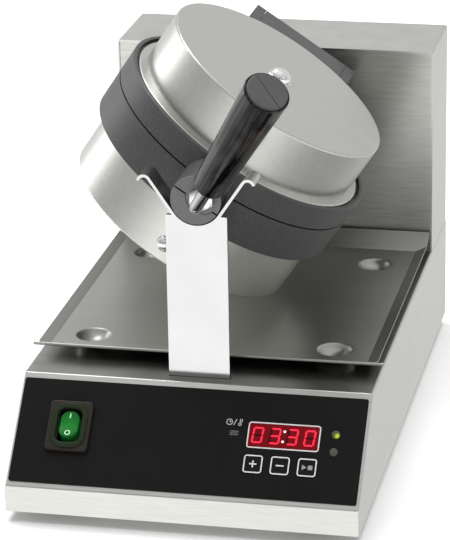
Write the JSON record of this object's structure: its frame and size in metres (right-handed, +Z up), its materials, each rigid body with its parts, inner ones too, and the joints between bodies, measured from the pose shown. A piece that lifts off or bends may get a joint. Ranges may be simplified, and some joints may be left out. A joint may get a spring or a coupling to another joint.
{
  "type": "rotary waffle maker",
  "caption": "Tabletop rotary waffle maker: hinged round plates in a turning drum over a drip tray, with a handle, a tower behind and a sloping control panel.",
  "frame": {"origin": "on the table, under the middle of the object's bounding box; the middle of the waffle drum is straight above it", "axes": "+Z up, -Y towards the control panel and the handle, +X to the right as seen from the front"},
  "size_m": [0.254, 0.4954, 0.3401],
  "materials": {
    "stainless": "brushed stainless sheet",
    "bright_steel": "polished steel",
    "tray_steel": "dull reflective stainless sheet",
    "cast_plate": "satin dark coating on a casting",
    "machined_steel": "turned steel",
    "screw_steel": "zinc-plated steel",
    "bronze": "sintered bronze",
    "heater_tube": "heat-tinted tube",
    "insulation": "pale fibre pad",
    "sensor": "plain metal can",
    "grip": "glossy black moulding",
    "grip_end": "dark grey moulding",
    "fascia": "black printed film",
    "display": "dark red filter",
    "display_body": "black moulding",
    "board": "green circuit board",
    "standoff": "white nylon",
    "key": "black cap with a white outline",
    "lamp_lit": "green lens, lit",
    "lamp_dark": "smoky lens, unlit",
    "switch_bezel": "dark glossy rim",
    "rocker": "green translucent rocker",
    "rubber": "black rubber",
    "gland": "black nylon"
  },
  "bodies": {
    "base": {"base_shell": "stainless", "tower_wrap": "stainless", "tower_front": "stainless", "tower_back": "stainless", "bottom_plate": "stainless", "support_plate": "bright_steel", "saddle": "bright_steel", "stop_pins": "machined_steel", "bearing_block": "machined_steel", "support_bracket": "machined_steel", "bearing_screws": "screw_steel", "support_screws": "screw_steel", "foot_screws": "screw_steel", "sheet_screws": "screw_steel", "shaft_bushes": "bronze", "control_fascia": "fascia", "display_window": "display", "display_module": "display_body", "terminal_block": "display_body", "relay": "display_body", "switch_body": "display_body", "control_board": "board", "board_standoffs": "standoff", "key_switches": "standoff", "lamp_upper": "lamp_lit", "lamp_lower": "lamp_dark", "switch_bezel": "switch_bezel", "rubber_feet": "rubber", "cable_gland": "gland"},
    "drum": {"lower_plate": "cast_plate", "lower_cover": "stainless", "lower_heater": "heater_tube", "lower_insulation": "insulation", "lower_sensor": "sensor", "lower_cap_bolt": "bright_steel", "lower_cover_screw": "bright_steel", "carrier_yoke": "cast_plate", "hinge_pin": "machined_steel", "plate_screws": "screw_steel", "main_shaft": "machined_steel", "flange_screws": "screw_steel", "stop_cam": "machined_steel"},
    "lid": {"upper_plate": "cast_plate", "upper_cover": "stainless", "upper_heater": "heater_tube", "upper_insulation": "insulation", "upper_sensor": "sensor", "upper_cap_bolt": "bright_steel", "handle_rod": "bright_steel", "handle_nut": "bright_steel", "handle_grip": "grip", "grip_cap": "grip_end", "hinge_block": "cast_plate", "hinge_bushes": "bronze", "hinge_block_screws": "screw_steel"},
    "rocker": {"rocker": "rocker"},
    "key_plus": {"key_plus": "key"},
    "key_minus": {"key_minus": "key"},
    "key_start": {"key_start": "key"},
    "tray": {"drip_tray": "tray_steel"}
  },
  "joints": [
    {"name": "drum_turn", "type": "hinge", "parent": "base", "child": "drum", "pos_m": [0, 0, 0.22], "axis": [0, -1, 0], "range_deg": [-146, 34]},
    {"name": "lid_open", "type": "hinge", "parent": "drum", "child": "lid", "pos_m": [0.02293, 0.119, 0.25399], "axis": [-0.829, 0, 0.5592], "range_deg": [0, 95]},
    {"name": "rocker_tilt", "type": "hinge", "parent": "base", "child": "rocker", "pos_m": [-0.085, -0.17121, 0.05795], "axis": [1, 0, 0], "range_deg": [0, 14]},
    {"name": "key_plus_press", "type": "slide", "parent": "base", "child": "key_plus", "axis": [0, 0.7071, -0.7071], "range_m": [0, 0.0004], "stiffness_N_per_m": 1500},
    {"name": "key_minus_press", "type": "slide", "parent": "base", "child": "key_minus", "axis": [0, 0.7071, -0.7071], "range_m": [0, 0.0004], "stiffness_N_per_m": 1500},
    {"name": "key_start_press", "type": "slide", "parent": "base", "child": "key_start", "axis": [0, 0.7071, -0.7071], "range_m": [0, 0.0004], "stiffness_N_per_m": 1500},
    {"name": "tray_slide", "type": "slide", "parent": "base", "child": "tray", "axis": [1, 0, 0], "range_m": [0, 0.26]}
  ]
}
